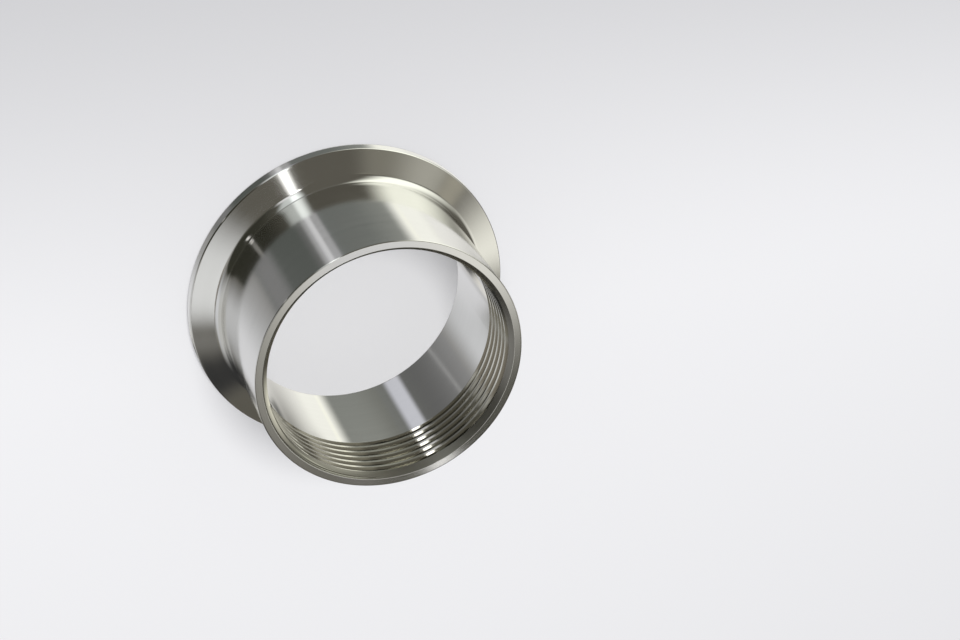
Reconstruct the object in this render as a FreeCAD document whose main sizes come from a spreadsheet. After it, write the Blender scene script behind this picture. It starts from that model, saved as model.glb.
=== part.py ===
import FreeCAD, Part
import os
import Sketcher

# A sanitary threaded ferrule: one ring, turned from stainless bar.
# A flange with a flat sealing face, a seal groove and a tapered back stands at
# the foot. A straight body rises from it, and its free end is bored for a
# female pipe thread, so the bore lies at the crests of the thread.
# The origin is the centre of the sealing face, which the ferrule stands on,
# and +Z runs along the bore towards the threaded end.

NODE = "ferrule"
PARTS_FOLDER = "parts"
ORIGIN = (-1, 1)
FULL_TURN = 360

# Driving dimensions, in millimetres and degrees, each with what it measures.
# They give a 63.5 mm body and a 77.5 mm flange.
SIZES = [
    ("bore_dia", 57.2, "through bore, at the crests of the female thread"),
    ("body_wall", 3.15, "wall between the bore and the outside of the body"),
    ("flange_overhang", 7.0, "how far the flange stands out from the body"),
    ("overall_length", 38.1, "sealing face to threaded end"),
    ("rim_thickness", 2.85, "flange thickness at its outer edge"),
    ("back_taper", 20.0, "angle between the flange's back and its sealing face"),
    ("neck_fillet", 2.5, "radius between the tapered back and the body"),
    ("rim_chamfer", 0.4, "chamfer on both corners of the flange's rim"),
    ("groove_width", 4.2, "width of the seal groove at the sealing face"),
    ("groove_depth", 1.4, "depth of the seal groove"),
    ("groove_land", 1.35, "flat ring left between the seal groove and the rim"),
    ("thread_depth", 1.207, "thread crest to thread root, along the radius"),
    ("mouth_clearance", 0.15, "how far the mouth chamfer passes the thread's roots"),
    ("edge_break", 0.2, "chamfer on the body's end and on the bore's foot"),
]

# Formulas for the sizes that follow from the driving ones.
BORE_RADIUS = "sizes.bore_dia / 2"
BODY_RADIUS = "sizes.bore_dia / 2 + sizes.body_wall"
FLANGE_RADIUS = BODY_RADIUS + " + sizes.flange_overhang"
TAPER_DIRECTION = "(180 - sizes.back_taper) * 1 deg"
GROOVE_RADIUS = "(sizes.groove_width ^ 2 / 4 + sizes.groove_depth ^ 2) / (2 * sizes.groove_depth)"
GROOVE_CENTRE_OUT = FLANGE_RADIUS + " - sizes.groove_land - sizes.groove_width / 2"
GROOVE_CENTRE_DROP = GROOVE_RADIUS + " - sizes.groove_depth"
MOUTH_CHAMFER = "sizes.thread_depth + sizes.mouth_clearance"


def make_sheet(doc):
    """Write the driving dimensions to a spreadsheet, one named cell each."""
    sheet = doc.addObject("Spreadsheet::Sheet", "sizes")
    for row, (name, value, meaning) in enumerate(SIZES, start=1):
        sheet.set(f"A{row}", name)
        sheet.set(f"B{row}", str(value))
        sheet.set(f"C{row}", meaning)
        sheet.setAlias(f"B{row}", name)
    doc.recompute()
    return sheet


def make_sketch(body, name, plane_role):
    """Add a sketch on one of the body's own origin planes."""
    sketch = body.newObject("Sketcher::SketchObject", name)
    plane = next(item for item in body.Origin.OriginFeatures if item.Role == plane_role)
    sketch.AttachmentSupport = (plane, [""])
    sketch.MapMode = "FlatFace"
    return sketch


def bind_size(sketch, name, formula, *constraint):
    """Add a named size to a sketch and bind it to a formula."""
    rough_value = 1.0
    index = sketch.addConstraint(Sketcher.Constraint(*constraint, rough_value))
    sketch.renameConstraint(index, name)
    sketch.setExpression(f"Constraints.{name}", formula)


def size_of(sketch, name):
    """Read a bound size back from a sketch."""
    return sketch.getDatum(name).Value


def circle_edge(shape, radius, height):
    """Name the round edge that has this radius and lies at this height."""
    for number, edge in enumerate(shape.Edges, start=1):
        curve = edge.Curve
        if not isinstance(curve, Part.Circle):
            continue
        if abs(curve.Radius - radius) < 1e-4 and abs(curve.Center.z - height) < 1e-4:
            return f"Edge{number}"
    raise RuntimeError(f"no round edge of radius {radius} at height {height}")


def turn_outside(doc, body):
    """Turn the outside: sealing face, rim, tapered back, neck, body and end face."""
    sketch = make_sketch(body, "outside_outline", "XZ_Plane")
    # The outline is drawn roughly, and the bound sizes then move it.
    foot, rim_foot, rim_top, taper_top, neck_top, side_top, axis_top = [
        FreeCAD.Vector(out, up, 0)
        for out, up in ((0, 0), (39, 0), (39, 3), (33, 5), (32, 7), (32, 38), (0, 38))
    ]
    neck_middle = FreeCAD.Vector(32.3, 5.8, 0)
    outline = [
        Part.LineSegment(foot, rim_foot),
        Part.LineSegment(rim_foot, rim_top),
        Part.LineSegment(rim_top, taper_top),
        Part.Arc(taper_top, neck_middle, neck_top),
        Part.LineSegment(neck_top, side_top),
        Part.LineSegment(side_top, axis_top),
        Part.LineSegment(axis_top, foot),
    ]
    face, rim, taper, neck, side, end, axis = range(len(outline))
    sketch.addGeometry(outline, False)
    # An arc runs anticlockwise, so the neck starts at the body and ends at the taper.
    for first, second in ((face, rim), (rim, taper), (side, end), (end, axis), (axis, face)):
        sketch.addConstraint(Sketcher.Constraint("Coincident", first, 2, second, 1))
    sketch.addConstraint(Sketcher.Constraint("Tangent", taper, 2, neck, 2))
    sketch.addConstraint(Sketcher.Constraint("Tangent", neck, 1, side, 1))
    sketch.addConstraint(Sketcher.Constraint("Coincident", face, 1, *ORIGIN))
    for line in (face, end):
        sketch.addConstraint(Sketcher.Constraint("Horizontal", line))
    for line in (rim, side, axis):
        sketch.addConstraint(Sketcher.Constraint("Vertical", line))
    bind_size(sketch, "flange_radius", FLANGE_RADIUS, "DistanceX", *ORIGIN, face, 2)
    bind_size(sketch, "rim_height", "sizes.rim_thickness", "DistanceY", rim, 1, rim, 2)
    bind_size(sketch, "taper_direction", TAPER_DIRECTION, "Angle", taper)
    bind_size(sketch, "neck_radius", "sizes.neck_fillet", "Radius", neck)
    bind_size(sketch, "body_radius", BODY_RADIUS, "DistanceX", *ORIGIN, side, 1)
    bind_size(sketch, "end_height", "sizes.overall_length", "DistanceY", *ORIGIN, side, 2)
    outside = body.newObject("PartDesign::Revolution", "turned_outside")
    outside.Profile = sketch
    outside.ReferenceAxis = (sketch, ["V_Axis"])
    outside.Angle = FULL_TURN
    doc.recompute()
    return outside


def bore_through(doc, body):
    """Bore the ring through, from the sealing face to the threaded end."""
    sketch = make_sketch(body, "bore_outline", "XY_Plane")
    upward = FreeCAD.Vector(0, 0, 1)
    rough_radius = 28
    sketch.addGeometry(Part.Circle(FreeCAD.Vector(0, 0, 0), upward, rough_radius), False)
    circle = 0
    sketch.addConstraint(Sketcher.Constraint("Coincident", circle, 3, *ORIGIN))
    bind_size(sketch, "bore_radius", BORE_RADIUS, "Radius", circle)
    bore = body.newObject("PartDesign::Pocket", "bore")
    bore.Profile = sketch
    bore.Type = "ThroughAll"
    bore.Reversed = True
    doc.recompute()
    return bore


def cut_seal_groove(doc, body):
    """Cut the round-bottomed groove for the seal's bead in the sealing face."""
    sketch = make_sketch(body, "groove_outline", "XZ_Plane")
    upward = FreeCAD.Vector(0, 0, 1)
    rough_centre, rough_radius = FreeCAD.Vector(35, -1, 0), 2
    sketch.addGeometry(Part.Circle(rough_centre, upward, rough_radius), False)
    circle = 0
    bind_size(sketch, "groove_radius", GROOVE_RADIUS, "Radius", circle)
    bind_size(sketch, "centre_out", GROOVE_CENTRE_OUT, "DistanceX", *ORIGIN, circle, 3)
    bind_size(sketch, "centre_drop", GROOVE_CENTRE_DROP, "DistanceY", circle, 3, *ORIGIN)
    groove = body.newObject("PartDesign::Groove", "seal_groove")
    groove.Profile = sketch
    groove.ReferenceAxis = (sketch, ["V_Axis"])
    groove.Angle = FULL_TURN
    doc.recompute()
    return groove


def chamfer_edges(doc, body, base, name, size, places):
    """Chamfer the round edges at these places, each a radius and a height."""
    edges = [circle_edge(base.Shape, radius, height) for radius, height in places]
    chamfer = body.newObject("PartDesign::Chamfer", name)
    chamfer.Base = (base, edges)
    chamfer.setExpression("Size", size)
    doc.recompute()
    return chamfer


def make_ferrule(doc):
    """Turn the ferrule in the order that a lathe would."""
    body = doc.addObject("PartDesign::Body", "Ferrule")
    body.Label = NODE
    outside = turn_outside(doc, body)
    bore = bore_through(doc, body)
    groove = cut_seal_groove(doc, body)
    volumes = [step.Shape.Volume for step in (outside, bore, groove)]
    if not volumes[0] > volumes[1] > volumes[2]:
        raise RuntimeError(f"a cut took nothing away: {volumes}")

    outline = doc.outside_outline
    flange_radius = size_of(outline, "flange_radius")
    rim_height = size_of(outline, "rim_height")
    body_radius = size_of(outline, "body_radius")
    end_height = size_of(outline, "end_height")
    bore_radius = size_of(doc.bore_outline, "bore_radius")

    rim_places = [(flange_radius, 0), (flange_radius, rim_height)]
    mouth_place = [(bore_radius, end_height)]
    sharp_places = [(bore_radius, 0), (body_radius, end_height)]
    rim = chamfer_edges(doc, body, groove, "rim_corners", "sizes.rim_chamfer", rim_places)
    mouth = chamfer_edges(doc, body, rim, "thread_mouth", MOUTH_CHAMFER, mouth_place)
    chamfer_edges(doc, body, mouth, "broken_edges", "sizes.edge_break", sharp_places)
    return body


def check_and_write(doc, bodies):
    """Stop on a failed object or a bad shape, then write one file a body."""
    for item in doc.Objects:
        if "Invalid" in item.State or "Error" in item.State:
            raise RuntimeError(f"{item.Name} failed: {item.State}")
    for body in bodies:
        if body.Shape.isNull() or not body.Shape.isValid() or len(body.Shape.Solids) != 1:
            raise RuntimeError(f"{body.Label} is not one valid solid")
    os.makedirs(PARTS_FOLDER, exist_ok=True)
    for body in bodies:
        body.Shape.exportStep(f"{PARTS_FOLDER}/{body.Label}.step")
        box = body.Shape.optimalBoundingBox()
        print(f"{body.Label}: {box.XLength:.2f} x {box.YLength:.2f} x {box.ZLength:.2f} mm")


doc = FreeCAD.newDocument("ferrule")
make_sheet(doc)
ferrule = make_ferrule(doc)
doc.recompute()
check_and_write(doc, [ferrule])
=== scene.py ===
import math

import bmesh
import bpy
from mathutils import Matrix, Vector


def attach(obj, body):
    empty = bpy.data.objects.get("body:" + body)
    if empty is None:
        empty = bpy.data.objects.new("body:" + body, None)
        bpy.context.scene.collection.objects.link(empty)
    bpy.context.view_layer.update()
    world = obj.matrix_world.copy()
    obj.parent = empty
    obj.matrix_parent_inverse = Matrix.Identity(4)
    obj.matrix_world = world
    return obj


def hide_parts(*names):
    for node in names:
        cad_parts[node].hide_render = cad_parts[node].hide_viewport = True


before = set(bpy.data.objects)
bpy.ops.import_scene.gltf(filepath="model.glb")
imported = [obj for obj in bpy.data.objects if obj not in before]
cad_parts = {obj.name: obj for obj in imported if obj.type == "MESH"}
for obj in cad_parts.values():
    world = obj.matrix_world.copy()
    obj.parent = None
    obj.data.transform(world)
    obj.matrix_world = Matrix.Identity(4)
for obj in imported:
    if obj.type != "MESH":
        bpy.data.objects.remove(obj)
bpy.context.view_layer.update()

# The camera stands where the photograph was taken from: a little over half a metre away, looking
# 56 degrees down into the threaded end. It is rolled, because the ferrule leans over there and
# stands upright here.
camera_data = bpy.data.cameras.new("photo_camera")
camera_data.sensor_width = 36.0
camera_data.lens = 86.412
camera = bpy.data.objects.new("photo_camera", camera_data)
camera.location = (-0.022751, -0.290409, 0.475675)
camera.rotation_euler = [math.radians(a) for a in (-28.8305, -18.6649, 149.8261)]
bpy.context.scene.collection.objects.link(camera)
bpy.context.scene.camera = camera

# The ferrule, cut 1: the turned blank. A ring of stainless bar: the outline of the flange, its
# tapered back, the neck and the body is drawn ring by ring from the bore outwards, each ring
# extruded from the last. The end is left 0.9 mm long, to be faced off after threading.
MM = 0.001
SEGMENTS = 256
bore_radius, body_radius, rim_radius = 28.6, 31.75, 38.75
length, stock_top, wall_foot = 38.1, 39.0, 21.5
rim_thickness, taper_angle = 2.85, 20
bore_edge, rim_round, neck_round = 0.2, 0.4, 2.5
# the seal groove is an arc, and its lips are broken where it meets the sealing face
groove_inner, groove_outer, groove_depth = 33.2, 37.4, 1.4
lip_width, lip_angle = 0.12, 2
# beside each rounding the flat faces get one more ring, so that they shade flat right up to it
ring_gap, end_ring = 0.1, 0.5
# the blank's end face is drawn in to this radius and meets the thread there
blank_mouth = 30.4


def arc(centre_r, centre_z, radius, start, stop, steps):
    """Points of an arc of the section, in mm, from one angle in degrees to another."""
    turn = [math.radians(start + (stop - start) * i / steps) for i in range(steps + 1)]
    return [(centre_r + radius * math.cos(a), centre_z + radius * math.sin(a)) for a in turn]


def turned_profile(name, fill, start, outline):
    """A ring at the start point, extruded to each point of an outline and left in edit mode."""
    last_r, last_z = start
    bpy.ops.object.select_all(action="DESELECT")
    bpy.ops.mesh.primitive_circle_add(
        vertices=SEGMENTS, radius=last_r * MM, fill_type=fill, location=(0, 0, 0)
    )
    made = bpy.context.object
    made.name = name
    bpy.ops.object.mode_set(mode="EDIT")
    bpy.ops.mesh.select_all(action="SELECT")
    bpy.ops.transform.translate(value=(0, 0, last_z * MM))
    for r, z in outline:
        bpy.ops.mesh.extrude_region_move(
            TRANSFORM_OT_translate={"value": (0, 0, (z - last_z) * MM)}
        )
        if abs(r - last_r) > 1e-9:
            wider = r / last_r
            bpy.ops.transform.resize(value=(wider, wider, 1), center_override=(0, 0, z * MM))
        last_r, last_z = r, z
    return made


slope = math.tan(math.radians(taper_angle))
back_z = rim_thickness - rim_round * math.tan(math.radians(45 - taper_angle / 2))
neck_r = body_radius + neck_round
neck_z = rim_thickness + (rim_radius - neck_r) * slope
neck_z += neck_round / math.cos(math.radians(taper_angle))
groove_half = (groove_outer - groove_inner) / 2
groove_radius = (groove_half ** 2 + groove_depth ** 2) / (2 * groove_depth)
groove_height = groove_depth - groove_radius
groove_angle = math.degrees(math.asin(-groove_height / groove_radius)) + lip_angle

section = [(bore_radius, bore_edge + ring_gap)]
section += arc(bore_radius + bore_edge, bore_edge, bore_edge, 180, 270, 5)
section += [(bore_radius + bore_edge + ring_gap, 0.0)]
section += [(groove_inner - lip_width - ring_gap, 0.0), (groove_inner - lip_width, 0.0)]
section += arc(groove_inner + groove_half, groove_height, groove_radius,
               180 - groove_angle, groove_angle, 18)
section += [(groove_outer + lip_width, 0.0), (groove_outer + lip_width + ring_gap, 0.0)]
section += [(rim_radius - rim_round - ring_gap, 0.0)]
section += arc(rim_radius - rim_round, rim_round, rim_round, 270, 360, 6)
section += [(rim_radius, rim_round + ring_gap), (rim_radius, back_z - ring_gap)]
section += arc(rim_radius - rim_round, back_z, rim_round, 0, 90 - taper_angle, 5)
corner_r, corner_z = section[-1]
section += [(corner_r - ring_gap, corner_z + ring_gap * slope)]
neck = arc(neck_r, neck_z, neck_round, 270 - taper_angle, 180, 14)
foot_r, foot_z = neck[0]
section += [(foot_r + ring_gap, foot_z - ring_gap * slope)] + neck
section += [(body_radius, neck_z + ring_gap), (body_radius, length - end_ring)]
section += [(body_radius, stock_top), (blank_mouth, stock_top)]

ferrule = turned_profile("ferrule_steel", "NOTHING", (bore_radius, wall_foot), section)
bpy.ops.object.mode_set(mode="OBJECT")

# Cut 2: the female pipe thread, right-handed, with a pitch of 2.309 mm, flanks 55 degrees apart
# and rounded roots. One tooth space is drawn and screwed upwards for eight turns. The lowest
# turn runs out to nothing with full flanks and a flat floor, and the crests stay at the bore.
pitch, root_radius, root_round, crest_round = 2.309, 29.807, 0.3171, 0.05
flank_angle, thread_turns = 27.5, 8
thread_start, run_out_foot, run_out_top = 22.7, 22.9, 25.2
# here too a ring beside each rounding holds the flat flanks
hold, weld = 0.03, 0.002 * MM
flank = math.tan(math.radians(flank_angle))
swing = 90 - flank_angle
root_arc = arc(0, 0, root_round, -swing, swing, 6)
tangent_r, tangent_half = root_radius - root_round + root_arc[-1][0], root_arc[-1][1]
# half the width of the tooth space at the bore, out to where the rounded crests begin
space_half = tangent_half + (tangent_r - bore_radius) * flank
space_half += crest_round * math.tan(math.radians(swing / 2))
crest_turn = [math.radians(a) for a in (0, 21, 42, swing)]
crest_arc = [(crest_round * (1 - math.cos(a)), crest_round * math.sin(a)) for a in crest_turn]
crest_half = space_half - crest_arc[-1][1] - hold * flank
floor_half = tangent_half + hold * flank
side = [(0.0, space_half + hold)]
side += [(dr, space_half - dz) for dr, dz in crest_arc]
side += [(crest_arc[-1][0] + hold, crest_half), (tangent_r - hold - bore_radius, floor_half)]
middle = pitch / 2
tooth = [(bore_radius, 0.0)]
tooth += [(bore_radius + dr, middle - dz) for dr, dz in side]
tooth += [(root_radius - root_round + dr, middle + dz) for dr, dz in root_arc]
tooth += [(bore_radius + dr, middle + dz) for dr, dz in reversed(side)]
tooth += [(bore_radius, pitch)]

bpy.ops.object.select_all(action="DESELECT")
bpy.ops.mesh.primitive_plane_add(size=MM, location=(0, 0, 0))
thread = bpy.context.object
thread.name = "thread"
bpy.ops.object.mode_set(mode="EDIT")
bpy.ops.mesh.select_all(action="SELECT")
bpy.ops.mesh.merge(type="CENTER")
bpy.ops.transform.translate(value=(bore_radius * MM, 0, thread_start * MM))
for (r0, z0), (r1, z1) in zip(tooth, tooth[1:]):
    bpy.ops.mesh.extrude_vertices_move(
        TRANSFORM_OT_translate={"value": ((r1 - r0) * MM, 0, (z1 - z0) * MM)}
    )
bpy.ops.object.mode_set(mode="OBJECT")
screw = thread.modifiers.new("screw", "SCREW")
screw.axis = "Z"
screw.angle = 2 * math.pi
screw.screw_offset = pitch * MM
screw.iterations = thread_turns
screw.steps = screw.render_steps = SEGMENTS
bpy.ops.object.modifier_apply(modifier=screw.name)
bpy.ops.object.mode_set(mode="EDIT")
bpy.ops.mesh.select_all(action="SELECT")
bpy.ops.mesh.remove_doubles(threshold=weld)
bpy.ops.object.mode_set(mode="OBJECT")


def turns_round(x, y):
    """How far round the bore a point lies, from 0 to 1 turn."""
    return math.atan2(y, x) % (2 * math.pi) / (2 * math.pi)


# The run-out: what lies deeper than the cut reaches there is drawn in to it, and the cut's floor
# is widened until it meets the flanks.
on_floor, widest = floor_half + 0.005, (crest_half - 0.01) / floor_half
for v in thread.data.vertices:
    x, y, z = v.co / MM
    r = math.hypot(x, y)
    climb = thread_start + pitch * turns_round(x, y)
    offset = (z - climb) % pitch - middle
    share = (z - offset - run_out_foot) / (run_out_top - run_out_foot)
    cut = bore_radius + (root_radius - bore_radius) * min(max(share, 0), 1)
    if r > cut:
        if abs(offset) < on_floor and cut < tangent_r:
            wider = 1 + (tangent_r - cut) * flank / tangent_half
            z += offset * (min(wider, widest) - 1)
        v.co = (x * cut / r * MM, y * cut / r * MM, z * MM)
bpy.ops.object.mode_set(mode="EDIT")
bpy.ops.mesh.select_all(action="SELECT")
bpy.ops.mesh.bisect(plane_co=(0, 0, stock_top * MM), plane_no=(0, 0, 1), clear_outer=True)

# The thread's lowest edge climbs one pitch round the bore. It is drawn down to the level ring on
# which the blank's bore begins; the step where its two ends pass is filled once they are joined.
bpy.ops.mesh.select_all(action="DESELECT")
bpy.ops.mesh.select_mode(type="EDGE")
for e in bmesh.from_edit_mesh(thread.data).edges:
    a, b = (turns_round(v.co.x, v.co.y) for v in e.verts)
    upright, over_the_seam = abs(a - b) < 1e-6, abs(a - b) > 0.5
    if not e.is_boundary or upright or over_the_seam:
        continue
    height = (e.verts[0].co.z + e.verts[1].co.z) / 2 / MM
    if abs(height - thread_start - pitch * (a + b) / 2) < 0.02:
        e.select_set(True)
bmesh.update_edit_mesh(thread.data)
bpy.ops.mesh.extrude_region_move(TRANSFORM_OT_translate={"value": (0, 0, 0)})
bpy.ops.transform.resize(value=(1, 1, 0), center_override=(0, 0, wall_foot * MM))
bpy.ops.object.mode_set(mode="OBJECT")


def select_open_edges(mesh, below=math.inf):
    """Selects the open edges of a mesh in edit mode, all or only those below a height in mm."""
    bpy.ops.mesh.select_all(action="DESELECT")
    for e in bmesh.from_edit_mesh(mesh).edges:
        if e.is_boundary and (e.verts[0].co.z + e.verts[1].co.z) / 2 < below * MM:
            e.select_set(True)
    bmesh.update_edit_mesh(mesh)


bpy.ops.object.select_all(action="DESELECT")
thread.select_set(True)
ferrule.select_set(True)
bpy.context.view_layer.objects.active = ferrule
bpy.ops.object.join()
bpy.ops.object.mode_set(mode="EDIT")
bpy.ops.mesh.select_all(action="SELECT")
bpy.ops.mesh.remove_doubles(threshold=weld)
select_open_edges(ferrule.data, below=stock_top - 1)
bpy.ops.mesh.edge_face_add()
# what is still open is the thread's cut top and the blank's end, which close the top together
select_open_edges(ferrule.data)
bpy.ops.mesh.bridge_edge_loops()
bpy.ops.mesh.select_all(action="SELECT")
bpy.ops.mesh.normals_make_consistent(inside=False)
bpy.ops.object.mode_set(mode="OBJECT")

# Cut 3: the end is faced to length, its outer edge is broken and the mouth is countersunk at 45
# degrees, a little wider than the thread's roots, all with one tool outline that is taken away
# from the blank.
mouth_radius, mouth_round, end_round, end_gap = 29.957, 0.1, 0.2, 0.08
# the tool starts inside the bore and reaches past the blank outwards and upwards
tool_tip, tool_heel, tool_side = 27.6, body_radius + 0.6, body_radius + 2.5
tool_foot, tool_low, tool_top = length - (mouth_radius - tool_tip), length - 0.8, 41.0
mouth_r = mouth_radius + mouth_round * math.tan(math.radians(22.5))
tool = arc(mouth_r, length - mouth_round, mouth_round, 135, 90, 3)
tool += [(mouth_r + end_gap, length), (body_radius - end_round - end_gap, length)]
tool += arc(body_radius - end_round, length - end_round, end_round, 90, 10, 4)
tool += [(tool_heel, tool_low), (tool_side, tool_low), (tool_side, tool_top)]
facing_tool = turned_profile("facing_tool", "NGON", (tool_tip, tool_foot), tool)
bpy.ops.mesh.select_all(action="SELECT")
bpy.ops.mesh.normals_make_consistent(inside=False)
bpy.ops.object.mode_set(mode="OBJECT")

bpy.ops.object.select_all(action="DESELECT")
ferrule.select_set(True)
bpy.context.view_layer.objects.active = ferrule
facing = ferrule.modifiers.new("facing", "BOOLEAN")
facing.operation = "DIFFERENCE"
facing.solver = "EXACT"
facing.object = facing_tool
bpy.ops.object.modifier_apply(modifier=facing.name)
bpy.data.objects.remove(facing_tool)
bpy.ops.object.mode_set(mode="EDIT")
bpy.ops.mesh.select_all(action="SELECT")
bpy.ops.mesh.remove_doubles(threshold=weld)
bpy.ops.mesh.dissolve_degenerate(threshold=weld)
bpy.ops.object.mode_set(mode="OBJECT")
bpy.ops.object.shade_smooth_by_angle(angle=math.radians(28))

# The finish, part 1: turning marks, the fine rings that a tool leaves as it feeds along the
# section. They follow the distance along the section, radius plus height, and hardly change
# round the axis.
fine_roughness, slow_roughness, slow_pitch, slow_share = 0.6, 0.55, 0.11, 5.0


def add_node(tree, kind, feeds=(), **settings):
    """Adds a node, sets it and feeds its inputs from pairs: (input, value or socket)."""
    made = tree.nodes.new(kind)
    for key, value in settings.items():
        setattr(made, key, value)
    for slot, value in feeds:
        if isinstance(value, bpy.types.NodeSocket):
            tree.links.new(value, made.inputs[slot])
        else:
            made.inputs[slot].default_value = value
    return made


def maths(tree, operation, *values):
    """One number worked out from others."""
    made = add_node(tree, "ShaderNodeMath", enumerate(values), operation=operation)
    return made.outputs[0]


def vector_maths(tree, operation, *values):
    """One vector worked out from others, or a number for LENGTH and DOT_PRODUCT."""
    made = add_node(tree, "ShaderNodeVectorMath", enumerate(values), operation=operation)
    return made.outputs["Value" if operation in ("LENGTH", "DOT_PRODUCT") else "Vector"]


marks = bpy.data.node_groups.new("turning_marks", "ShaderNodeTree")
for name, kind in (("Position", "Vector"), ("Feed", "Float"), ("Wander", "Float")):
    marks.interface.new_socket(name, in_out="INPUT", socket_type="NodeSocket" + kind)
for name in ("Height", "Rings"):
    marks.interface.new_socket(name, in_out="OUTPUT", socket_type="NodeSocketFloat")
given = add_node(marks, "NodeGroupInput")
put_out = add_node(marks, "NodeGroupOutput")
flat = vector_maths(marks, "MULTIPLY", given.outputs["Position"], (1, 1, 0))
radial = vector_maths(marks, "NORMALIZE", flat)
xyz = add_node(marks, "ShaderNodeSeparateXYZ", [(0, given.outputs["Position"])])
along = maths(marks, "ADD", vector_maths(marks, "LENGTH", flat), xyz.outputs["Z"])
rings = maths(marks, "DIVIDE", along, given.outputs["Feed"])
round_it = add_node(marks, "ShaderNodeVectorMath",
                    [(0, radial), ("Scale", given.outputs["Wander"])], operation="SCALE")
lift = add_node(marks, "ShaderNodeCombineXYZ", [("Z", rings)])
place = vector_maths(marks, "ADD", round_it.outputs[0], lift.outputs[0])
fine = add_node(marks, "ShaderNodeTexNoise", [
    ("Vector", place), ("Scale", 1.0), ("Detail", 2.0), ("Roughness", fine_roughness)])
slow_place = vector_maths(marks, "MULTIPLY", place, (1.0, 1.0, slow_pitch))
slow = add_node(marks, "ShaderNodeTexNoise", [
    ("Vector", slow_place), ("Scale", 1.0), ("Detail", 3.0), ("Roughness", slow_roughness)])
height = maths(marks, "MULTIPLY_ADD", slow.outputs["Fac"], slow_share, fine.outputs["Fac"])
marks.links.new(height, put_out.inputs["Height"])
marks.links.new(slow.outputs["Fac"], put_out.inputs["Rings"])

# The finish, part 2: five finishes of the same steel, one for each kind of surface that the
# tools left. Each is anisotropic across its own turning marks, and the blend of marks and wiped
# patches makes it a little smoother and darker in one place than in the next. The countersink's
# dark colour and the darkening towards the thread's roots are painted shade.
patch_scale, patch_from, patch_to = 45.0, 0.7, 1.3
smoother, rougher, darker = 0.8, 1.2, 0.965
crest_side, root_side = 28.75 * MM, 29.6 * MM


def mixed(tree, share, first, second):
    """The first colour turned into the second one by a share from 0 to 1."""
    pair = [c if isinstance(c, bpy.types.NodeSocket) else (*c, 1) for c in (first, second)]
    made = add_node(tree, "ShaderNodeMix", [(0, share), (6, pair[0]), (7, pair[1])],
                    data_type="RGBA")
    return made.outputs[2]


def spread_over(tree, value, low, high, at_low=0.0, at_high=1.0, shape="LINEAR"):
    """A value between two limits turned into a share, or into a value between two others."""
    made = add_node(tree, "ShaderNodeMapRange", [
        ("Value", value), ("From Min", low), ("From Max", high),
        ("To Min", at_low), ("To Max", at_high)], interpolation_type=shape)
    return made.outputs[0]


def turned_steel(name, feed, wander, mark_depth, roughness, anisotropic, colour, root_shade=1.0):
    """A stainless finish with turning marks and faint wiped patches; lengths are in mm.

    A root_shade below 1 darkens the thread's colour from just behind its crests down to its
    roots: painted shade in the grooves.
    """
    made = bpy.data.materials.new(name)
    made.use_nodes = True
    tree = made.node_tree
    shader = tree.nodes["Principled BSDF"]
    shader.inputs["Metallic"].default_value = 1.0
    shader.inputs["Anisotropic"].default_value = anisotropic
    shader.inputs["Anisotropic Rotation"].default_value = 0.25
    coords = add_node(tree, "ShaderNodeTexCoord").outputs["Object"]
    lathe = add_node(tree, "ShaderNodeGroup", [
        ("Position", coords), ("Feed", feed * MM), ("Wander", wander)], node_tree=marks)
    bump = add_node(tree, "ShaderNodeBump", [
        ("Height", lathe.outputs["Height"]), ("Distance", mark_depth * MM)])
    wiped = add_node(tree, "ShaderNodeTexNoise", [
        ("Vector", coords), ("Scale", patch_scale), ("Detail", 3.0)])
    blend = maths(tree, "ADD", wiped.outputs["Fac"], lathe.outputs["Rings"])
    rough = spread_over(tree, blend, patch_from, patch_to,
                        roughness * smoother, roughness * rougher)
    lighter = spread_over(tree, blend, patch_from, patch_to)
    paint = mixed(tree, lighter, tuple(c * darker for c in colour), colour)
    flat = vector_maths(tree, "MULTIPLY", coords, (1, 1, 0))
    # painted shade: the thread's colour darkens from just behind the crests down to the roots
    if root_shade < 1:
        from_axis = vector_maths(tree, "LENGTH", flat)
        deep = spread_over(tree, from_axis, crest_side, root_side, 1.0, root_shade)
        paint = mixed(tree, deep, (0, 0, 0), paint)
    radial = vector_maths(tree, "NORMALIZE", flat)
    around = vector_maths(tree, "CROSS_PRODUCT", (0.0, 0.0, 1.0), radial)
    tree.links.new(paint, shader.inputs["Base Color"])
    tree.links.new(rough, shader.inputs["Roughness"])
    tree.links.new(bump.outputs["Normal"], shader.inputs["Normal"])
    tree.links.new(around, shader.inputs["Tangent"])
    return made


OUTSIDE, BORE, THREAD, END_FACE, COUNTERSINK = range(5)
bright = (0.77, 0.765, 0.75)
ferrule.data.materials.clear()
for finish in (
    turned_steel("turned_stainless", feed=0.12, wander=0.6, mark_depth=0.0002,
                 roughness=0.1, anisotropic=0.7, colour=bright),
    turned_steel("bored_stainless", feed=0.1, wander=0.6, mark_depth=0.0001,
                 roughness=0.06, anisotropic=0.5, colour=bright),
    turned_steel("threaded_stainless", feed=0.05, wander=1.5, mark_depth=0.0003,
                 roughness=0.06, anisotropic=0.3, colour=(0.68, 0.665, 0.60), root_shade=0.5),
    turned_steel("faced_stainless", feed=0.09, wander=0.6, mark_depth=0.0002,
                 roughness=0.065, anisotropic=0.5, colour=bright),
    # the countersink's colour is painted shade, far darker than the steel it is cut in
    turned_steel("countersunk_stainless", feed=0.12, wander=1.0, mark_depth=0.0008,
                 roughness=0.42, anisotropic=0.3, colour=(0.33, 0.32, 0.29)),
):
    ferrule.data.materials.append(finish)

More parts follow.
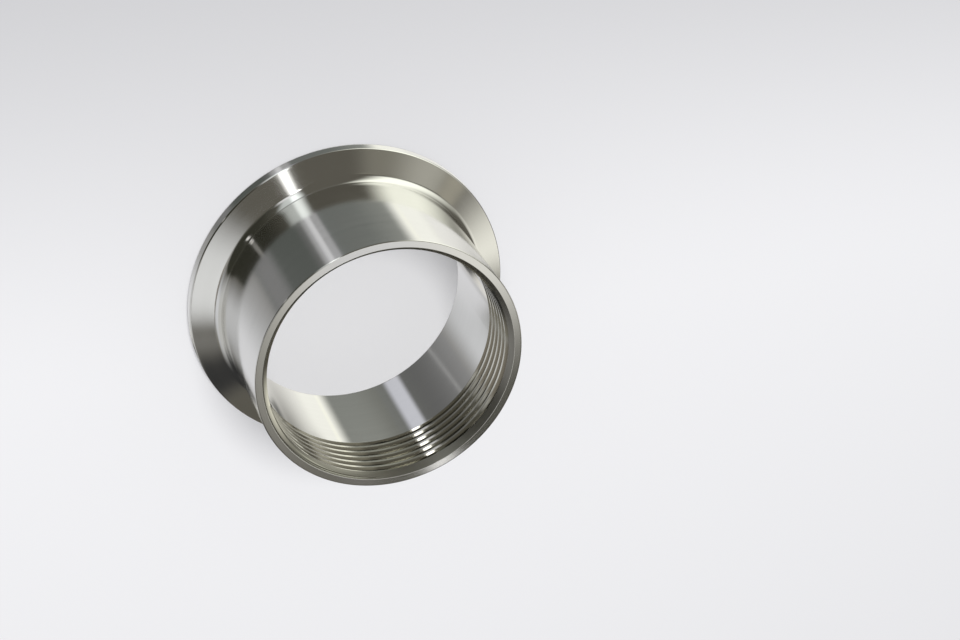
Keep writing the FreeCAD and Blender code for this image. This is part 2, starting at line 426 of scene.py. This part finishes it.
# Each face gets the finish of its own surface, told by its place. The limits lie a little
# beyond each surface, so that none of its faces is missed.
near, end_plane, mouth_edge = 0.03, length - 0.01, mouth_radius + 0.01
countersink_foot = length - (mouth_radius - bore_radius) - 0.1
deepest, full_thread = root_radius + 0.12, run_out_top - 0.3
for face in ferrule.data.polygons:
    x, y, z = face.center / MM
    r = math.hypot(x, y)
    off_cone = abs(r - (mouth_radius - length + z))
    in_run_out = r > bore_radius + near and z > run_out_foot
    if z > end_plane:
        face.material_index = END_FACE
    elif r < mouth_edge and off_cone < near and z > countersink_foot:
        face.material_index = COUNTERSINK
    elif r < deepest and (z > full_thread or in_run_out):
        face.material_index = THREAD
    elif r < bore_radius + near:
        face.material_index = BORE
    else:
        face.material_index = OUTSIDE

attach(ferrule, "root")
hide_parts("ferrule")

# The floor: a plain pale sheet under the ferrule, 0.05 mm below its sealing face. It keeps the
# shadow, but the steel mirrors the studio's tables and not this sheet, because the ferrule leans
# over in the photograph. Its colour greys a little towards one side, painted shade where the
# lamp's light falls off, and it fades away far off.
sheet_radius, sheet_drop = 1.5, 0.05 * MM
pale, painted_shade_grey = (0.80, 0.80, 0.812), (0.51, 0.51, 0.522)
surroundings = (0.84, 0.84, 0.855)
grey_side, grey_from, grey_to = (-0.5, -0.866, 0), -0.02, 0.12
fade_from, fade_to = 0.2, 0.7
bpy.ops.object.select_all(action="DESELECT")
bpy.ops.mesh.primitive_circle_add(
    vertices=64, radius=sheet_radius, fill_type="NGON", location=(0, 0, -sheet_drop)
)
bpy.ops.object.transform_apply(location=True, rotation=False, scale=False)
floor = bpy.context.object
floor.name = "pale_floor"
floor.visible_glossy = False
paper = bpy.data.materials.new("pale_floor")
paper.use_nodes = True
tree = paper.node_tree
matt = tree.nodes["Principled BSDF"]
matt.inputs["Roughness"].default_value = 0.9
matt.inputs["Specular IOR Level"].default_value = 0.0
coords = add_node(tree, "ShaderNodeTexCoord").outputs["Object"]
# painted shade: the sheet's colour greys towards one side
across = vector_maths(tree, "DOT_PRODUCT", coords, grey_side)
painted_shade_share = spread_over(tree, across, grey_from, grey_to, shape="SMOOTHSTEP")
tree.links.new(mixed(tree, painted_shade_share, pale, painted_shade_grey), matt.inputs["Base Color"])
away = vector_maths(tree, "LENGTH", coords)
far = spread_over(tree, away, fade_from, fade_to, shape="SMOOTHSTEP")
light_path = add_node(tree, "ShaderNodeLightPath")
faded = maths(tree, "MULTIPLY", far, light_path.outputs["Is Camera Ray"])
haze = add_node(tree, "ShaderNodeEmission", [("Color", (*surroundings, 1)), ("Strength", 1.0)])
sheet = add_node(tree, "ShaderNodeMixShader", [
    (0, faded), (1, matt.outputs[0]), (2, haze.outputs[0])])
# the sheet can be looked through from below, where it would hide the sealing face
geometry = add_node(tree, "ShaderNodeNewGeometry")
clear = add_node(tree, "ShaderNodeBsdfTransparent")
one_sided = add_node(tree, "ShaderNodeMixShader", [
    (0, geometry.outputs["Backfacing"]), (1, sheet.outputs[0]), (2, clear.outputs[0])])
tree.links.new(one_sided.outputs[0], tree.nodes["Material Output"].inputs["Surface"])
floor.data.materials.append(paper)

# The studio round it. The camera sees one plain pale surrounding, and the floor is lit by a
# plain one. The steel mirrors a dark room, and in it tall soft windows left and right, tables
# below, a strip lamp and the ceiling, each made of panels with soft edges.
panel_shape = ("Centre", "Half width", "Left edge", "Right edge",
               "Low", "High", "Low edge", "High edge", "Lean")
panel = bpy.data.node_groups.new("studio_panel", "ShaderNodeTree")
for name in ("Azimuth", "Elevation") + panel_shape:
    panel.interface.new_socket(name, in_out="INPUT", socket_type="NodeSocketFloat")
for name in ("Light", "Before"):
    panel.interface.new_socket(name, in_out="INPUT", socket_type="NodeSocketColor")
panel.interface.new_socket("Seen", in_out="OUTPUT", socket_type="NodeSocketColor")
given = add_node(panel, "NodeGroupInput")
put_out = add_node(panel, "NodeGroupOutput")
leant = maths(panel, "MULTIPLY", given.outputs["Elevation"], given.outputs["Lean"])
off_centre = maths(panel, "SUBTRACT", given.outputs["Azimuth"], given.outputs["Centre"])
unleant = maths(panel, "SUBTRACT", off_centre, leant)
sideways = maths(panel, "WRAP", unleant, 180.0, -180.0)
half = given.outputs["Half width"]
minus_half = maths(panel, "MULTIPLY", half, -1.0)
left_end = maths(panel, "SUBTRACT", minus_half, given.outputs["Left edge"])
right_end = maths(panel, "ADD", half, given.outputs["Right edge"])
low_end = maths(panel, "SUBTRACT", given.outputs["Low"], given.outputs["Low edge"])
high_end = maths(panel, "ADD", given.outputs["High"], given.outputs["High edge"])
left = spread_over(panel, sideways, left_end, minus_half, 0.0, 1.0, "SMOOTHSTEP")
right = spread_over(panel, sideways, half, right_end, 1.0, 0.0, "SMOOTHSTEP")
bottom = spread_over(panel, given.outputs["Elevation"], low_end, given.outputs["Low"],
                     0.0, 1.0, "SMOOTHSTEP")
top = spread_over(panel, given.outputs["Elevation"], given.outputs["High"], high_end,
                  1.0, 0.0, "SMOOTHSTEP")
level = maths(panel, "MULTIPLY", left, right)
upright = maths(panel, "MULTIPLY", bottom, top)
window = maths(panel, "MULTIPLY", level, upright)
seen = mixed(panel, window, given.outputs["Before"], given.outputs["Light"])
panel.links.new(seen, put_out.inputs["Seen"])

# A panel's numbers are those of panel_shape, in degrees, and its light comes last. The compass
# runs from +Y towards +X and the height from -90 below to 90 above. An edge is the width over
# which the panel fades out, and it leans by so many degrees of compass for each one of height.
dark_room, fill = (0.126, 0.119, 0.099), (0.47, 0.47, 0.48)
studio_panels = {
    "table behind": (160, 40, 5, 6, -90, -45, 5, 24, -0.1, (0.13, 0.13, 0.13)),
    "table behind left": (-105, 12, 90, 12, -90, -37, 5, 23, 0, (0.26, 0.27, 0.25)),
    "table shelf": (-148, 14, 6, 30, -90, -58, 5, 0.6, 0, (0.17, 0.18, 0.17)),
    "table right": (82.5, 0.5, 2.5, 105, -90, -44, 5, 22, 0.13, (0.44, 0.44, 0.44)),
    "table shelf behind": (153, 20, 16, 8, -90, -58, 5, 0.6, 0, (0.10, 0.11, 0.10)),
    "table front": (15, 23, 33, 8, -90, -54, 5, 6, 0, (0.79, 0.77, 0.71)),
    "table left": (-86, 7, 13, 44, -90, -50, 5, 12, 0, (1.12, 1.12, 1.04)),
    "table left rim": (-92.6, 0.6, 3, 1.6, -90, -50, 5, 12, 0, (1.19, 1.19, 1.06)),
    "table front edge": (-43, 24, 4, 25, -90, -59, 5, 4, 0, (1.00, 0.99, 0.95)),
    "table right edge": (69, 8, 27, 36, -90, -56.4, 5, 0.5, 0.13, (0.79, 0.79, 0.81)),
    "table right far": (134, 4, 8, 12, -90, -58, 5, 0.5, 0, (0.23, 0.23, 0.23)),
    "table haze": (-50, 14, 20, 14, -55.5, -40, 0.3, 5, 0, (0.31, 0.30, 0.29)),
    "table haze right": (55, 15, 12, 16, -55.8, -40, 0.2, 5, 0, (0.34, 0.34, 0.32)),
    "table corner": (23, 0.5, 2.5, 9, -90, -60, 5, 30, 0.05, (0.14, 0.14, 0.11)),
    "left window": (-107, 6.5, 22.5, 40, -30, 31, 28, 15, 0.33, (1.45, 1.47, 1.31)),
    "far left window": (-34, 1, 30, 13, 18, 30, 12, 19, -0.1, (1.08, 1.07, 0.97)),
    "right window": (98, 0.5, 55, 28, -54, 39, 7, 12, 0, (0.74, 0.75, 0.77)),
    "right window low": (92, 6, 40, 28, -40, 8, 12, 12, 0, (0.60, 0.60, 0.58)),
    "right window top": (79, 4, 14, 46, 49.5, 90, 2.5, 1, 0.08, (0.90, 0.91, 0.91)),
    "left window top": (-72, 10, 20, 21, 49, 51, 3, 21, -0.1, (0.47, 0.46, 0.40)),
    "left window sill": (-57, 2.5, 4, 4, 44.5, 47.5, 1.5, 3, 0, (0.40, 0.38, 0.31)),
    "left window shade": (-97, 7, 7, 20, 52, 63, 1.5, 5.5, 0, (0.24, 0.23, 0.19)),
    "right window shade": (62, 8, 5, 16, 33, 42, 4.5, 3, 0, (0.25, 0.24, 0.21)),
    "right window shade top": (11, 8, 4, 12, 47, 59, 4, 3, 1.6, (0.25, 0.23, 0.20)),
    "table gap": (29, 7, 5, 7, -58.9, -57.2, 0.4, 0.2, 0, (0.02, 0.02, 0.02)),
    "strip lamp foot": (-169.5, 6, 4.5, 3.5, -90, -57.7, 5, 0.6, 0, (0.40, 0.40, 0.40)),
    "strip lamp heel": (-170.6, 0.6, 4.4, 2.6, -90, -57.7, 5, 0.6, 0, (0.73, 0.73, 0.74)),
    "strip lamp low": (-169.3, 4.2, 6, 7, -57.1, -33, 0.6, 13, 0, (0.68, 0.69, 0.75)),
    "strip lamp side": (182, 3.5, 6.5, 2.5, -10, 58, 17, 9, 0.06, (0.75, 0.79, 0.77)),
    "strip lamp": (-172.3, 0.8, 3.2, 7.5, -9, 58, 15, 9, 0, (1.40, 1.47, 1.45)),
    "strip lamp neck": (-176, 7, 7, 6, 50, 65, 5, 3, 0, (1.00, 1.00, 1.00)),
    "strip lamp top": (-165, 4.6, 3.5, 2.8, 75.5, 90, 3, 1, 0, (2.00, 2.00, 1.95)),
    "strip lamp tip": (-165, 3.4, 4.5, 1.2, 66, 75.5, 3, 2, 0, (4.00, 4.00, 3.95)),
    "ceiling": (-8.5, 8.5, 8, 15, 57.5, 84, 3.6, 4, 0, (0.92, 0.91, 0.85)),
    "ceiling cool": (2.5, 1, 3, 3.5, 57.8, 84, 2, 4, 0, (0.77, 0.77, 0.77)),
    "dark gap right": (60, 3, 7, 16, -21, 41, 10, 6.5, -0.17, (0.04, 0.04, 0.04)),
    "dark gap back": (140, 16, 4.5, 32, -12, 53, 30, 24, 0, (0.04, 0.04, 0.03)),
    "thin line": (148.7, 0.8, 1.4, 1.4, -3, 16, 8, 9, -0.05, (0.85, 0.83, 0.80)),
    "faint line": (-30.3, 0.5, 1.6, 1.6, -57.2, -54.6, 0.5, 0.3, -3.1, (0.42, 0.42, 0.42)),
    "end shade": (0.6, 3.5, 3.6, 6, -30, 53, 8, 3, 0, (0.04, 0.04, 0.03)),
    "front shade": (-21.5, 3.5, 10.5, 17, -56.9, -40, 0.3, 10, 0, (0.18, 0.18, 0.17)),
    "ceiling glint": (4.8, 0.3, 0.7, 0.5, 52.5, 54, 1, 0.3, 0, (1.50, 1.49, 1.46)),
    "ceiling low": (8.1, 0.3, 1.2, 1.2, 54, 54.4, 0.3, 0.5, 0, (0.22, 0.21, 0.20)),
}
world = bpy.data.worlds.new("studio")
bpy.context.scene.world = world
world.use_nodes = True
world.cycles.sampling_method = "NONE"
tree = world.node_tree
direction = add_node(tree, "ShaderNodeTexCoord").outputs["Generated"]
xyz = add_node(tree, "ShaderNodeSeparateXYZ", [(0, direction)])
degrees = 180 / math.pi
compass = maths(tree, "ARCTAN2", xyz.outputs["X"], xyz.outputs["Y"])
azimuth = maths(tree, "MULTIPLY", compass, degrees)
elevation = maths(tree, "MULTIPLY", maths(tree, "ARCSINE", xyz.outputs["Z"]), degrees)
light = (*dark_room, 1)
for name, (*shape, tone) in studio_panels.items():
    feeds = [("Azimuth", azimuth), ("Elevation", elevation), ("Before", light)]
    feeds += [*zip(panel_shape, shape), ("Light", (*tone, 1))]
    made = add_node(tree, "ShaderNodeGroup", feeds, node_tree=panel, label=name)
    light = made.outputs["Seen"]
light_path = add_node(tree, "ShaderNodeLightPath")
direct = maths(tree, "LESS_THAN", light_path.outputs["Diffuse Depth"], 0.5)
mirrored = maths(tree, "MULTIPLY", light_path.outputs["Is Glossy Ray"], direct)
plain = mixed(tree, light_path.outputs["Is Camera Ray"], fill, surroundings)
tree.links.new(mixed(tree, mirrored, plain, light), tree.nodes["Background"].inputs["Color"])

# One large soft lamp, a disk half a metre wide high above the camera, gives the floor its
# shadow. It faces the ferrule, and the steel doesn't mirror it.
lamp_place = Vector((-0.14, -0.36, 1.1))
lamp_data = bpy.data.lights.new("soft_lamp", "AREA")
lamp_data.shape = "DISK"
lamp_data.size = 0.5
lamp_data.energy = 9.8
lamp = bpy.data.objects.new("soft_lamp", lamp_data)
lamp.location = lamp_place
lamp.rotation_euler = lamp_place.to_track_quat("Z", "Y").to_euler()
lamp.visible_glossy = False
bpy.context.scene.collection.objects.link(lamp)

bpy.context.scene.view_settings.view_transform = "Standard"
